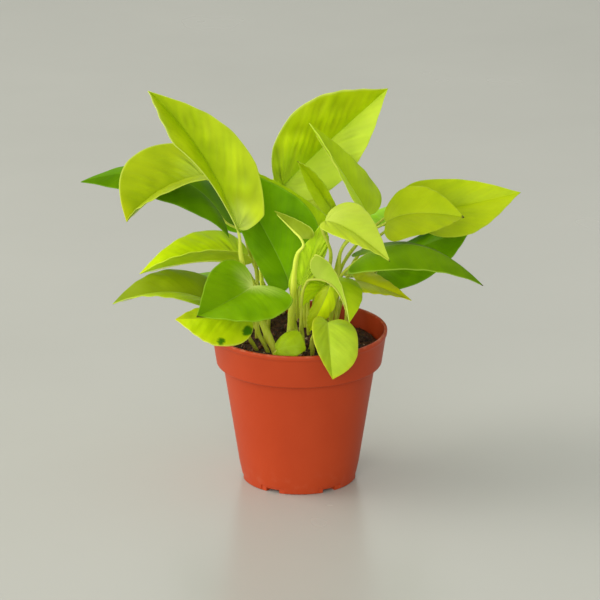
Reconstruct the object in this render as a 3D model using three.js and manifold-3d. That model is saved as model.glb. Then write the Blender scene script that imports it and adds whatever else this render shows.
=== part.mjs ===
// A golden pothos with lime leaves, growing in a round plastic nursery pot.
// Millimetres, +Z up. The origin is the middle of the flat underside of the pot,
// +X is the viewer's right and -Y is the front.
import * as THREE from "three";
import { mergeVertices } from "three/addons/utils/BufferGeometryUtils.js";
import Module from "manifold-3d";

const wasm = await Module();
wasm.setup();

// Driving dimensions of the pot
const POT_HEIGHT = 96;
const RIM_RADIUS = 54;
const BASE_RADIUS = 35.3;
const BAND_BOTTOM_Z = 74.5;
const BAND_BOTTOM_RADIUS = 50.8;
const BODY_TOP_RADIUS = 46.8;
const WALL = 1.3;
const BASE_THICKNESS = 1.8;
const POT_SIDES = 48;

// Drainage notches in the bottom edge of the pot
const NOTCH_COUNT = 6;
const NOTCH_FIRST_ANGLE = -118;
const NOTCH_WIDTH = 9;
const NOTCH_HEIGHT = 2.6;
const NOTCH_DEPTH = 8;
const RECESS_WIDTH = 16;
const RECESS_HEIGHT = 3.6;
const RECESS_DEPTH = 0.5;

// Soil
const SOIL_Z = 85;
const SOIL_SIDES = 32;
const SOIL_EDGE_DROP = 2;
const SOIL_EDGE_INSET = 4;
const SOIL_RELIEF = 0.9;
const HEAP_X = -15;
const HEAP_Y = 42;
const HEAP_RADIUS = 20;
const HEAP_HEIGHT = 6;
const CLEARANCE = 0.35;
const HOLE_CLEARANCE = 0.4;
const HOLE_SIDES = 8;
const HOLE_RISE = 8;
const ROOTED_LENGTH = 8;

// Leaf blades and petioles
const BLADE_THICKNESS = 0.8;
const BLADE_ROWS = 9;
const BLADE_COLUMNS = 2;
const ROOT_SPREAD = 1.7;
const BELLY = 0.07;
const PETIOLE_RADIUS = 1.3;
const PETIOLE_SIDES = 6;
const PETIOLE_STEPS = 12;
const STEP_CROWDING = 1.5;
const THINNING = 3;
const ROOT_COLLAR = 1;
const ROOT_RISE = 5;
const CROOK_LENGTH = 4;
const MIDRIB_START = 0.1;
const MIDRIB_END = 0.3;
const MIDRIB_DEPTH = 0.5;
const MIDRIB_END_RADIUS = 0.55;

// Half of a pothos leaf, from the notch at the petiole round the lobe to the drip tip:
// the first number runs along the midrib, the second is the share of the half width
const HALF_LEAF = new THREE.SplineCurve([
  new THREE.Vector2(0, 0),
  new THREE.Vector2(-0.08, 0.16),
  new THREE.Vector2(-0.14, 0.42),
  new THREE.Vector2(-0.1, 0.74),
  new THREE.Vector2(0.04, 0.94),
  new THREE.Vector2(0.26, 1),
  new THREE.Vector2(0.48, 0.93),
  new THREE.Vector2(0.67, 0.72),
  new THREE.Vector2(0.83, 0.42),
  new THREE.Vector2(0.94, 0.15),
  new THREE.Vector2(1, 0),
]);
const WIDEST = 0.26;
const WAIST_STEP = 0.6;

// Colours
const TERRACOTTA = "#c2492a";
const EARTH = "#2a1a12";
const NEON = "#a9cc1c";
const LIME = "#8fb81a";
const OLIVE = "#7f9c14";
const GREEN = "#5f9a12";
const DARK = "#3f7a0c";
const YELLOW = "#b0b418";

const plant = new THREE.Group();

function plasticFinish(colour) {
  return new THREE.MeshStandardMaterial({ color: colour, roughness: 0.45, metalness: 0 });
}

function soilFinish(colour) {
  return new THREE.MeshStandardMaterial({ color: colour, roughness: 1, metalness: 0 });
}

function leafFinish(colour) {
  return new THREE.MeshStandardMaterial({ color: colour, roughness: 0.4, metalness: 0 });
}

// A closed geometry as a solid that can be cut and joined
function toSolid(geometry) {
  const bare = geometry.clone();
  bare.deleteAttribute("normal");
  bare.deleteAttribute("uv");
  const merged = mergeVertices(bare, 1e-4);
  const corners = merged.index.array;
  const faces = [];
  for (let i = 0; i < corners.length; i += 3) {
    const [a, b, c] = corners.slice(i, i + 3);
    if (a !== b && b !== c && c !== a) {
      faces.push(a, b, c);
    }
  }
  const vertProperties = new Float32Array(merged.attributes.position.array);
  const triVerts = new Uint32Array(faces);
  return new wasm.Manifold(new wasm.Mesh({ numProp: 3, vertProperties, triVerts }));
}

function toGeometry(solid) {
  const mesh = solid.getMesh();
  const geometry = new THREE.BufferGeometry();
  geometry.setAttribute("position", new THREE.BufferAttribute(mesh.vertProperties, 3));
  geometry.setIndex(new THREE.BufferAttribute(mesh.triVerts, 1));
  geometry.computeVertexNormals();
  return geometry;
}

function addNode(name, geometry, material) {
  const mesh = new THREE.Mesh(geometry, material);
  mesh.name = name;
  plant.add(mesh);
  return mesh;
}

// A profile of [radius, height] pairs turned about the pot's axis
function turned(profile, sides) {
  const points = profile.map(([radius, height]) => new THREE.Vector2(radius, height));
  const geometry = new THREE.LatheGeometry(points, sides);
  geometry.rotateX(Math.PI / 2);
  return geometry;
}

// Pot: tapered body, step out to the rim band, thin lip, flat base with drainage notches
function potWallProfile() {
  const top = POT_HEIGHT;
  return [
    [0, 0],
    [BASE_RADIUS - 1.5, 0],
    [BASE_RADIUS - 0.4, 0.4],
    [BASE_RADIUS, 1.5],
    [BODY_TOP_RADIUS, BAND_BOTTOM_Z - 0.6],
    [BODY_TOP_RADIUS + 0.8, BAND_BOTTOM_Z],
    [BAND_BOTTOM_RADIUS - 1.6, BAND_BOTTOM_Z],
    [BAND_BOTTOM_RADIUS - 0.4, BAND_BOTTOM_Z + 0.6],
    [BAND_BOTTOM_RADIUS, BAND_BOTTOM_Z + 2],
    [RIM_RADIUS - 0.5, top - 2.2],
    [RIM_RADIUS, top - 1.5],
    [RIM_RADIUS, top - 0.5],
    [RIM_RADIUS - 0.5, top],
    [RIM_RADIUS - 1.2, top],
    [RIM_RADIUS - 1.8, top - 0.6],
    [BAND_BOTTOM_RADIUS - WALL, BAND_BOTTOM_Z + 2.2],
    [BODY_TOP_RADIUS - WALL, BAND_BOTTOM_Z - 0.2],
    [BASE_RADIUS - WALL, BASE_THICKNESS],
    [0, BASE_THICKNESS],
  ];
}

// A block lying across the bottom edge of the pot, its inner face at the given radius
function edgeBlock(width, height, innerRadius, angle) {
  const depth = BASE_RADIUS + 4 - innerRadius;
  const block = new THREE.BoxGeometry(depth, width, height * 2);
  block.translate(innerRadius + depth / 2, 0, 0);
  block.rotateZ(THREE.MathUtils.degToRad(angle));
  return toSolid(block);
}

function makePot() {
  let pot = toSolid(turned(potWallProfile(), POT_SIDES));
  for (let i = 0; i < NOTCH_COUNT; i += 1) {
    const angle = NOTCH_FIRST_ANGLE + (i * 360) / NOTCH_COUNT;
    const recess = edgeBlock(RECESS_WIDTH, RECESS_HEIGHT, BASE_RADIUS - RECESS_DEPTH, angle);
    const notch = edgeBlock(NOTCH_WIDTH, NOTCH_HEIGHT, BASE_RADIUS - NOTCH_DEPTH, angle);
    pot = pot.subtract(recess).subtract(notch);
  }
  addNode("pot", toGeometry(pot), plasticFinish(TERRACOTTA));
}

// Soil: fills the pot to below the rim, with an uneven top and a plain hole for each stem.
// It is heaped a little towards the back.
function heapRise(x, y) {
  const away = Math.hypot(x - HEAP_X, y - HEAP_Y) / HEAP_RADIUS;
  return HEAP_HEIGHT * Math.exp(-away * away);
}

function soilSurface(x, y) {
  const swell = Math.sin(x * 0.11 + 1) * Math.cos(y * 0.13 - 0.5);
  const crumb = Math.sin(x * 0.37 - y * 0.21) * Math.cos(y * 0.41 + x * 0.17);
  return SOIL_Z + SOIL_RELIEF * (swell + 0.6 * crumb) + heapRise(x, y);
}

function potInnerRadius(z) {
  const innerTop = RIM_RADIUS - 1.8;
  const bandBottom = BAND_BOTTOM_RADIUS - WALL;
  const share = (z - BAND_BOTTOM_Z - 2.2) / (POT_HEIGHT - 0.6 - BAND_BOTTOM_Z - 2.2);
  return bandBottom + (innerTop - bandBottom) * share;
}

function soilProfile() {
  const edgeZ = SOIL_Z - SOIL_EDGE_DROP;
  const edge = potInnerRadius(edgeZ) - CLEARANCE;
  return [
    [0, BASE_THICKNESS + CLEARANCE],
    [BASE_RADIUS - WALL - CLEARANCE, BASE_THICKNESS + CLEARANCE],
    [BODY_TOP_RADIUS - WALL - CLEARANCE, BAND_BOTTOM_Z],
    [BAND_BOTTOM_RADIUS - WALL - CLEARANCE, BAND_BOTTOM_Z + 2.4],
    [edge, edgeZ],
    [edge - SOIL_EDGE_INSET, SOIL_Z],
    [edge * 0.75, SOIL_Z],
    [edge * 0.5, SOIL_Z],
    [edge * 0.25, SOIL_Z],
    [0, SOIL_Z],
  ];
}

function makeSoil(stalks) {
  const geometry = turned(soilProfile(), SOIL_SIDES);
  const position = geometry.attributes.position;
  for (let i = 0; i < position.count; i += 1) {
    const x = position.getX(i);
    const y = position.getY(i);
    const z = position.getZ(i);
    if (z > SOIL_Z - 0.5 * SOIL_EDGE_DROP) {
      position.setZ(i, soilSurface(x, y));
    } else if (z > SOIL_Z - 1.5 * SOIL_EDGE_DROP) {
      position.setZ(i, z + heapRise(x, y));
    }
  }
  let soil = toSolid(geometry);
  for (const stalk of stalks) {
    soil = soil.subtract(plantingHole(stalk));
  }
  addNode("soil", toGeometry(soil), soilFinish(EARTH));
}

// A plain round hole in line with the buried end of a stem
function plantingHole({ root, heading, radius }) {
  const length = ROOTED_LENGTH + HOLE_RISE;
  const width = radius + HOLE_CLEARANCE;
  const hole = new THREE.CylinderGeometry(width, width, length, HOLE_SIDES);
  const turn = new THREE.Quaternion().setFromUnitVectors(new THREE.Vector3(0, 1, 0), heading);
  const middle = root.clone().addScaledVector(heading, length / 2 - ROOTED_LENGTH - CLEARANCE);
  hole.applyQuaternion(turn);
  hole.translate(middle.x, middle.y, middle.z);
  return toSolid(hole);
}

// The midrib is a parabola through the base, middle and tip of the blade.
// Behind the base it runs straight on, which carries the lobes.
function midribPoint(blade, along) {
  const { base, mid, tip } = blade;
  const bow = mid.clone().sub(base.clone().add(tip).multiplyScalar(0.5));
  const inside = Math.max(along, 0);
  const behind = Math.min(along, 0);
  return base
    .clone()
    .addScaledVector(tip.clone().sub(base), along)
    .addScaledVector(bow, 4 * inside * (1 - inside) + 4 * behind);
}

// Point of one half of the blade: step goes round the margin from notch to tip,
// across goes from the midrib (0) to the margin (1). Full fills the half out towards the tip,
// lobe is the size of its basal lobe and waist draws it in towards the base.
function bladePoint(blade, half, step, across) {
  const { x, y } = HALF_LEAF.getPoint(step);
  const reach = x > 0 ? x + half.full * x * (1 - x) : x * half.lobe;
  const lobe = half.lobe + (1 - half.lobe) * Math.min(2 * step, 1);
  const rootAlong = step ** ROOT_SPREAD;
  const along = rootAlong + (reach - rootAlong) * across;
  const waist = Math.min(step / WAIST_STEP, 1) ** half.waist;
  const wide = y * lobe * waist * across;
  return midribPoint(blade, along)
    .addScaledVector(half.side, wide)
    .addScaledVector(half.up, BELLY * 4 * wide * (1 - wide));
}

// One half: the vector from the midrib to its widest margin point, and one as long that points
// up from the blade
function bladeHalf(blade, widest, turn, full, lobe, waist) {
  const side = widest.clone().sub(midribPoint(blade, WIDEST));
  const along = blade.tip.clone().sub(blade.base);
  const up = along.cross(side).setLength(turn * side.length());
  return { side, up, full, lobe, waist };
}

// The mid surface of a whole blade: rows of points from the left margin
// over the midrib to the right margin
function bladeRows(blade) {
  const rows = [];
  for (let i = 0; i <= BLADE_ROWS; i += 1) {
    const step = i / BLADE_ROWS;
    const row = [];
    for (let j = BLADE_COLUMNS; j > 0; j -= 1) {
      row.push(bladePoint(blade, blade.leftHalf, step, j / BLADE_COLUMNS));
    }
    for (let j = 0; j <= BLADE_COLUMNS; j += 1) {
      row.push(bladePoint(blade, blade.rightHalf, step, j / BLADE_COLUMNS));
    }
    rows.push(row);
  }
  return rows;
}

// Triangles of the mid surface, upper side out. The first and last rows are single points,
// so their triangles with two equal corners are left out.
function bladeFaces(columns) {
  const faces = [];
  for (let i = 0; i < BLADE_ROWS; i += 1) {
    for (let j = 0; j < columns - 1; j += 1) {
      const a = i * columns + j;
      const b = a + 1;
      const c = a + columns;
      const d = c + 1;
      if (i > 0) {
        faces.push([a, b, c]);
      }
      if (i < BLADE_ROWS - 1) {
        faces.push([b, d, c]);
      }
    }
  }
  return faces;
}

// A thin solid: the mid surface moved half a thickness up and down, closed round the margin
function bladeGeometry(blade) {
  const rows = bladeRows(blade);
  const columns = rows[0].length;
  const last = BLADE_ROWS;
  const points = rows.flat().map((point, index) => {
    const row = Math.floor(index / columns);
    return row === 0 || row === last ? rows[row][BLADE_COLUMNS] : point;
  });
  const faces = bladeFaces(columns);
  const normals = pointNormals(points, faces, columns);
  const corners = [];
  const place = (index, side) => {
    const shift = (side * BLADE_THICKNESS) / 2;
    corners.push(...points[index].clone().addScaledVector(normals[index], shift).toArray());
  };
  for (const [a, b, c] of faces) {
    place(a, 1);
    place(b, 1);
    place(c, 1);
    place(a, -1);
    place(c, -1);
    place(b, -1);
  }
  for (let i = 0; i < last; i += 1) {
    const leftFrom = i * columns;
    const leftTo = leftFrom + columns;
    const rightFrom = leftFrom + columns - 1;
    const rightTo = rightFrom + columns;
    closeMargin(place, leftTo, leftFrom);
    closeMargin(place, rightFrom, rightTo);
  }
  const geometry = new THREE.BufferGeometry();
  geometry.setAttribute("position", new THREE.Float32BufferAttribute(corners, 3));
  return geometry;
}

function closeMargin(place, from, to) {
  place(from, 1);
  place(from, -1);
  place(to, 1);
  place(to, 1);
  place(from, -1);
  place(to, -1);
}

// Mean direction of the faces round each point; the points of an end row share one
function pointNormals(points, faces, columns) {
  const sums = points.map(() => new THREE.Vector3());
  for (const [a, b, c] of faces) {
    const first = points[b].clone().sub(points[a]);
    const second = points[c].clone().sub(points[a]);
    const normal = first.cross(second);
    for (const corner of [a, b, c]) {
      sums[corner].add(normal);
    }
  }
  for (const row of [0, BLADE_ROWS]) {
    const shared = new THREE.Vector3();
    for (let j = 0; j < columns; j += 1) {
      shared.add(sums[row * columns + j]);
    }
    for (let j = 0; j < columns; j += 1) {
      sums[row * columns + j] = shared;
    }
  }
  return sums.map((sum) => sum.clone().normalize());
}

// Cross sections along a curve, closer together towards its end, each turned as little as
// possible from the one before
function stalkSections(curve) {
  const sections = [];
  let normal = new THREE.Vector3(1, 0, 0);
  for (let i = 0; i <= PETIOLE_STEPS; i += 1) {
    const share = 1 - (1 - i / PETIOLE_STEPS) ** STEP_CROWDING;
    const tangent = curve.getTangentAt(share);
    normal = normal.clone().addScaledVector(tangent, -normal.dot(tangent)).normalize();
    const across = tangent.clone().cross(normal);
    sections.push({ share, centre: curve.getPointAt(share), normal, across });
  }
  return sections;
}

// A round stalk along a smooth curve, which thins towards the far end
function stalkGeometry(points, rootRadius, endRadius) {
  const sections = stalkSections(new THREE.CatmullRomCurve3(points));
  const ring = ({ share, centre, normal, across }, k) => {
    const radius = rootRadius + (endRadius - rootRadius) * share ** THINNING;
    const angle = (k / PETIOLE_SIDES) * 2 * Math.PI;
    return centre
      .clone()
      .addScaledVector(normal, radius * Math.cos(angle))
      .addScaledVector(across, radius * Math.sin(angle));
  };
  const corners = [];
  const face = (...vertices) => vertices.forEach((vertex) => corners.push(...vertex.toArray()));
  const [first] = sections;
  const last = sections[PETIOLE_STEPS];
  for (let k = 0; k < PETIOLE_SIDES; k += 1) {
    for (let i = 0; i < PETIOLE_STEPS; i += 1) {
      const from = sections[i];
      const to = sections[i + 1];
      face(ring(from, k), ring(from, k + 1), ring(to, k));
      face(ring(from, k + 1), ring(to, k + 1), ring(to, k));
    }
    face(first.centre, ring(first, k + 1), ring(first, k));
    face(last.centre, ring(last, k), ring(last, k + 1));
  }
  const geometry = new THREE.BufferGeometry();
  geometry.setAttribute("position", new THREE.Float32BufferAttribute(corners, 3));
  return geometry;
}

// Petiole: a straight rooted end, a smooth way to the blade, a crook that turns it into the
// midrib, and the thick start of the midrib under the blade
function petiolePoints(blade, stalk, via) {
  const { leftHalf, rightHalf } = blade;
  const above = leftHalf.up.clone().normalize().add(rightHalf.up.clone().normalize()).normalize();
  const along = (distance) => stalk.root.clone().addScaledVector(stalk.heading, distance);
  const below = (share) => midribPoint(blade, share).addScaledVector(above, -MIDRIB_DEPTH);
  const from = via[via.length - 1] ?? stalk.root;
  const back = blade.base.clone().sub(midribPoint(blade, MIDRIB_START)).normalize();
  const crook = from.clone().sub(blade.base).normalize().add(back).normalize();
  return [
    along(-ROOTED_LENGTH),
    along(-ROOT_COLLAR),
    along(ROOT_RISE),
    ...via,
    below(0).addScaledVector(crook, CROOK_LENGTH),
    below(MIDRIB_START),
    below(MIDRIB_END),
  ];
}

const vector = ([x, y, z]) => new THREE.Vector3(x, y, z);
const stalks = [];

// Where a stem enters the soil and the way it grows there
function rootedStalk([x, y], towards, radius) {
  const root = new THREE.Vector3(x, y, soilSurface(x, y));
  const heading = towards.clone().sub(root).normalize();
  const stalk = { root, heading, radius };
  stalks.push(stalk);
  return stalk;
}

// A leaf: blade and petiole grown as one piece. The blade is set by the base, middle and tip
// of its midrib and by the widest points of its left and right margins, all at true place.
function leaf(name, colour, spec) {
  const blade = { base: vector(spec.base), mid: vector(spec.mid), tip: vector(spec.tip) };
  const [fullLeft, fullRight] = spec.full ?? [0, 0];
  const [lobeLeft, lobeRight] = spec.lobe ?? [1, 1];
  const [waistLeft, waistRight] = spec.waist ?? [0, 0];
  blade.leftHalf = bladeHalf(blade, vector(spec.left), 1, fullLeft, lobeLeft, waistLeft);
  blade.rightHalf = bladeHalf(blade, vector(spec.right), -1, fullRight, lobeRight, waistRight);
  const via = (spec.via ?? []).map(vector);
  const stalk = rootedStalk(spec.root, via[0] ?? blade.base, spec.radius ?? PETIOLE_RADIUS);
  const petiole = stalkGeometry(petiolePoints(blade, stalk, via), stalk.radius, MIDRIB_END_RADIUS);
  const grown = toSolid(bladeGeometry(blade)).add(toSolid(petiole));
  addNode(name, toGeometry(grown), leafFinish(colour));
}

// Leaves seen from the front, from the left round to the right
function makeFrontLeaves() {
  leaf("leaf_01", NEON, {
    base: [-37, -13, 164], mid: [-59, -13, 211], tip: [-90, -21, 252],
    left: [-56, -38, 190], right: [-25, -19, 204],
    root: [-14, -19], via: [[-27, -12, 116], [-35, -12, 145]], radius: 2.4,
    full: [0.6, 0.1], lobe: [0.2, 0.2], waist: [3, 0],
  });
  leaf("leaf_02", NEON, {
    base: [-58, 13, 188], mid: [-83, 5, 182], tip: [-104, -16, 169],
    left: [-69, -16, 192], right: [-88, 25, 205],
    root: [-26, 12], via: [[-26, 18, 125], [-30, 14, 148], [-41, 18, 174]],
    full: [0.45, 0.7], lobe: [1, 1.05],
  });
  leaf("leaf_03", DARK, {
    base: [-47, 15, 162], mid: [-80, 20, 187], tip: [-133, 14, 185],
    left: [-56, 2, 164], right: [-57, 41, 179],
    root: [-19, 11], via: [[-19, 16, 126], [-29, 20, 149]],
    full: [0.3, 0], lobe: [0.1, 0.9],
  });
  leaf("leaf_04", NEON, {
    base: [-35, 11, 133], mid: [-60, 4, 138], tip: [-97, -7, 133],
    left: [-43, -10, 149], right: [-51, 30, 149],
    root: [-20, 4], via: [[-24, 4, 113]],
    full: [0, 0.05],
  });
  leaf("leaf_05", OLIVE, {
    base: [-52, -11, 115], mid: [-80, -18, 125], tip: [-113, -20, 118],
    left: [-66, -34, 124], right: [-66, 4, 131],
    root: [-28, 1], via: [[-37, -8, 105]],
    full: [-0.25, 0.15],
  });
  leaf("leaf_06", GREEN, {
    base: [-28, -25, 131], mid: [-41, -39, 127], tip: [-61, -65, 125],
    left: [-7, -46, 123], right: [-50, -22, 143],
    root: [-19, -14], via: [[-25, -22, 102]],
    full: [0.8, -0.25], lobe: [0.95, 1.25],
  });
  leaf("leaf_07", NEON, {
    base: [-34, -34, 116], mid: [-53, -46, 118], tip: [-74, -52, 119],
    left: [-42, -60, 105], right: [-42, -23, 120],
    root: [-26, -12], via: [[-32, -26, 103]],
    full: [0.05, 0.1],
  });
  leaf("leaf_08", DARK, {
    base: [-6, -9, 127], mid: [-19, 4, 153], tip: [-46, 17, 197],
    left: [-26, -5, 139], right: [9, 2, 167],
    root: [0, -5], via: [[-5, -8, 116]],
    full: [0.4, -0.25], lobe: [0.8, 0.9],
  });
  leaf("leaf_09", OLIVE, {
    base: [9, 15, 156], mid: [-8, 18, 168], tip: [-32, 18, 192],
    left: [-7, 9, 152], right: [7, 25, 168],
    root: [10, 17], via: [[12, 19, 132]],
    full: [0, 0.05], lobe: [1, 1.05],
  });
  leaf("leaf_10", NEON, {
    base: [-10, 41, 174], mid: [16, 40, 201], tip: [54, 32, 239],
    left: [-6, 25, 223], right: [26, 27, 182],
    root: [6, 20], via: [[3, 29, 137]],
    full: [0.1, -0.05], lobe: [0.6, 0.75],
  });
  leaf("leaf_11", OLIVE, {
    base: [41, 0, 168], mid: [30, 1, 187], tip: [6, -6, 228],
    left: [32, -20, 185], right: [47, 22, 180],
    root: [17, -4], via: [[24, -5, 131], [26, -7, 149]],
    full: [0, -0.25], lobe: [0.8, 0.8],
  });
  leaf("leaf_12", GREEN, {
    base: [19, 4, 172], mid: [10, 4, 186], tip: [-1, 1, 202],
    left: [9, 2, 177], right: [17, 0, 185],
    root: [14, 6], via: [[15, 6, 152]], radius: 1,
    full: [-0.25, 0.45],
  });
  leaf("leaf_13", NEON, {
    base: [16, -34, 175], mid: [31, -41, 171], tip: [54, -57, 157],
    left: [35, -22, 182], right: [21, -52, 172],
    root: [7, -6], via: [[16, -6, 126], [19, -21, 151]],
    full: [-0.3, 0.15], lobe: [0.95, 0.95],
  });
  leaf("leaf_14", OLIVE, {
    base: [2, -21, 160], mid: [-5, -14, 165], tip: [-15, 0, 171],
    left: [6, -26, 169], right: [7, -9, 162],
    root: [-6, -8], via: [[-4, -17, 120], [-1, -21, 150]], radius: 2.3,
    full: [-0.5, -0.4], lobe: [1, 0.7],
  });
  leaf("leaf_15", NEON, {
    base: [53, -7, 166], mid: [71, -2, 170], tip: [100, -4, 168],
    left: [66, 10, 183], right: [66, -19, 160],
    root: [19, 6], via: [[22, 6, 130], [29, 6, 150]],
    full: [0, 0.25],
  });
  leaf("leaf_16", NEON, {
    base: [59, 26, 162], mid: [87, 32, 162], tip: [136, 32, 173],
    left: [84, 40, 179], right: [95, 10, 151],
    root: [17, 12], via: [[27, 14, 133]],
    full: [-0.1, -0.05], lobe: [0.9, 0.95],
  });
  leaf("leaf_17", DARK, {
    base: [50, 19, 129], mid: [77, 26, 141], tip: [105, 32, 148],
    left: [68, 50, 136], right: [69, 6, 121],
    root: [28, 9], via: [[32, 12, 112]],
    full: [0, 0.2], lobe: [1, 0.6],
  });
  leaf("leaf_18", GREEN, {
    base: [42, -18, 150], mid: [76, -20, 154], tip: [111, -24, 131],
    left: [53, 0, 150], right: [47, -38, 145],
    root: [22, -6], via: [[23, -14, 119], [25, -16, 134]],
    full: [0.7, -0.2], lobe: [0.8, 0.7],
  });
  leaf("leaf_19", YELLOW, {
    base: [35, -8, 129], mid: [48, -14, 127], tip: [68, -22, 121],
    left: [40, 2, 133], right: [37, -26, 128],
    root: [28, 0], via: [[29, -4, 111]], radius: 1,
    full: [-0.2, -0.25], lobe: [0.8, 0.8],
  });
  leaf("leaf_20", LIME, {
    base: [11, -38, 140], mid: [23, -41, 134], tip: [30, -46, 115],
    left: [33, -26, 135], right: [15, -43, 155],
    root: [1, -15], via: [[1, -27, 107], [2, -33, 129], [5, -36, 138]], radius: 1.1,
    full: [0.1, -0.9], lobe: [1, 0.9],
  });
  leaf("leaf_21", LIME, {
    base: [17, -44, 114], mid: [18, -58, 104], tip: [20, -60, 84],
    left: [35, -50, 105], right: [8, -54, 112],
    root: [8, -17], via: [[8, -26, 98]],
    full: [0.3, 0], lobe: [1.15, 1],
  });
  leaf("leaf_22", LIME, {
    base: [-13, -42, 96], mid: [-4, -46, 100], tip: [4, -46, 98],
    left: [-5, -38, 107], right: [-9, -47, 91],
    root: [-16, -30], radius: 1,
    full: [0.05, 0],
  });
  leaf("leaf_23", LIME, {
    base: [1, -14, 129], mid: [7, -17, 147], tip: [13, -21, 169],
    left: [-4, -16, 139], right: [16, -18, 149],
    root: [3, -10], radius: 1,
  });
  leaf("leaf_24", LIME, {
    base: [17, -11, 127], mid: [9, -12, 123], tip: [0, -20, 116],
    left: [13, -9, 121], right: [6, -12, 131],
    root: [16, 0], via: [[18, -4, 116], [22, -9, 125]], radius: 0.9,
  });
  leaf("leaf_25", NEON, {
    base: [18, -22, 129], mid: [13, -26, 118], tip: [6, -24, 102],
    left: [22, -20, 118], right: [8, -20, 118],
    root: [14, -9], via: [[17, -14, 112], [22, -18, 128]], radius: 0.9,
  });
}

// Leaves on the far side of the pot
function makeBackLeaves() {
  leaf("leaf_26", NEON, {
    base: [-2, 46, 152], mid: [-7, 67, 160], tip: [-6, 102, 171],
    left: [-23, 70, 146], right: [20, 55, 154],
    root: [4, 30],
  });
  leaf("leaf_27", DARK, {
    base: [-30, 38, 152], mid: [-48, 61, 165], tip: [-66, 93, 164],
    left: [-61, 46, 159], right: [-20, 58, 166],
    root: [-21, 21], via: [[-24, 29, 127]],
  });
  leaf("leaf_28", GREEN, {
    base: [-38, 36, 109], mid: [-59, 61, 110], tip: [-78, 83, 98],
    left: [-64, 42, 110], right: [-30, 64, 107],
    root: [-26, 21],
  });
  leaf("leaf_29", DARK, {
    base: [58, 43, 149], mid: [77, 69, 150], tip: [95, 97, 139],
    left: [46, 67, 150], right: [88, 47, 148],
    root: [21, 24], via: [[35, 33, 130]],
  });
  leaf("leaf_30", NEON, {
    base: [43, 42, 116], mid: [60, 66, 114], tip: [77, 92, 99],
    left: [35, 64, 116], right: [69, 46, 113],
    root: [28, 26], via: [[33, 34, 104]],
  });
  leaf("leaf_31", GREEN, {
    base: [-9, 46, 133], mid: [-13, 72, 134], tip: [-17, 98, 120],
    left: [-30, 62, 130], right: [11, 64, 129],
    root: [-1, 37], via: [[-2, 40, 113]],
  });
  leaf("leaf_32", DARK, {
    base: [0, 48, 186], mid: [12, 54, 207], tip: [25, 85, 215],
    left: [-1, 51, 205], right: [32, 55, 198],
    root: [9, 34], via: [[9, 39, 150]],
  });
  leaf("leaf_33", NEON, {
    base: [-36, 34, 180], mid: [-52, 49, 193], tip: [-57, 67, 201],
    left: [-54, 30, 191], right: [-34, 47, 192],
    root: [-13, 39], via: [[-32, 29, 141]],
  });
}

makePot();
makeFrontLeaves();
makeBackLeaves();
makeSoil(stalks);

export default plant;
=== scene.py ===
import bpy
import numpy as np
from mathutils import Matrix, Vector


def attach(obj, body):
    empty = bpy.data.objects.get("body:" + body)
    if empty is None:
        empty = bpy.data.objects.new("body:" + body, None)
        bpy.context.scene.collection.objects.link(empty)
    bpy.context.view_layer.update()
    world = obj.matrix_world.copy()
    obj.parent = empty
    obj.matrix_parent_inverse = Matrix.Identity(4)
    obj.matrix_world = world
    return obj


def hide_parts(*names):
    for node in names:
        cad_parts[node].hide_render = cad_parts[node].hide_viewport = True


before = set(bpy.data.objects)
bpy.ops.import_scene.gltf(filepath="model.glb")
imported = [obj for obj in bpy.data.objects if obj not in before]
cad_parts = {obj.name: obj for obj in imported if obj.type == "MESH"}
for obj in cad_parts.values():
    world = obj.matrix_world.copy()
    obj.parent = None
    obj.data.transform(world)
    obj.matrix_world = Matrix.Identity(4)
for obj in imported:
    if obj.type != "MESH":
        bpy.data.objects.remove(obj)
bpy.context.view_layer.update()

MM = 0.001
BODY = "root"


# Shader expressions

class Wire:
    """A socket of a material's nodes. Python's operators add Math nodes to it."""

    def __init__(self, finish, socket):
        self.finish = finish
        self.socket = socket

    def maths(self, operation, first, second=0.0):
        return self.finish.node("ShaderNodeMath", {"operation": operation}, Value=first, Value_001=second)

    def __add__(self, other):
        return self.maths("ADD", self, other)

    def __sub__(self, other):
        return self.maths("SUBTRACT", self, other)

    def __rsub__(self, other):
        return self.maths("SUBTRACT", other, self)

    def __mul__(self, other):
        return self.maths("MULTIPLY", self, other)

    def __abs__(self):
        return self.maths("ABSOLUTE", self)

    def smooth(self, low, high):
        """0 below low, 1 above high and an even S curve between."""
        settings = {"interpolation_type": "SMOOTHSTEP"}
        return self.finish.node("ShaderNodeMapRange", settings, Value=self, From_Min=low, From_Max=high)

    def fold(self, half):
        """Distance from the nearest whole multiple of twice the given half."""
        return self.maths("PINGPONG", self, half)

    def between(self, low, high):
        """The value 0 to 1 carried to the range from low to high."""
        return self * (high - low) + low


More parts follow.
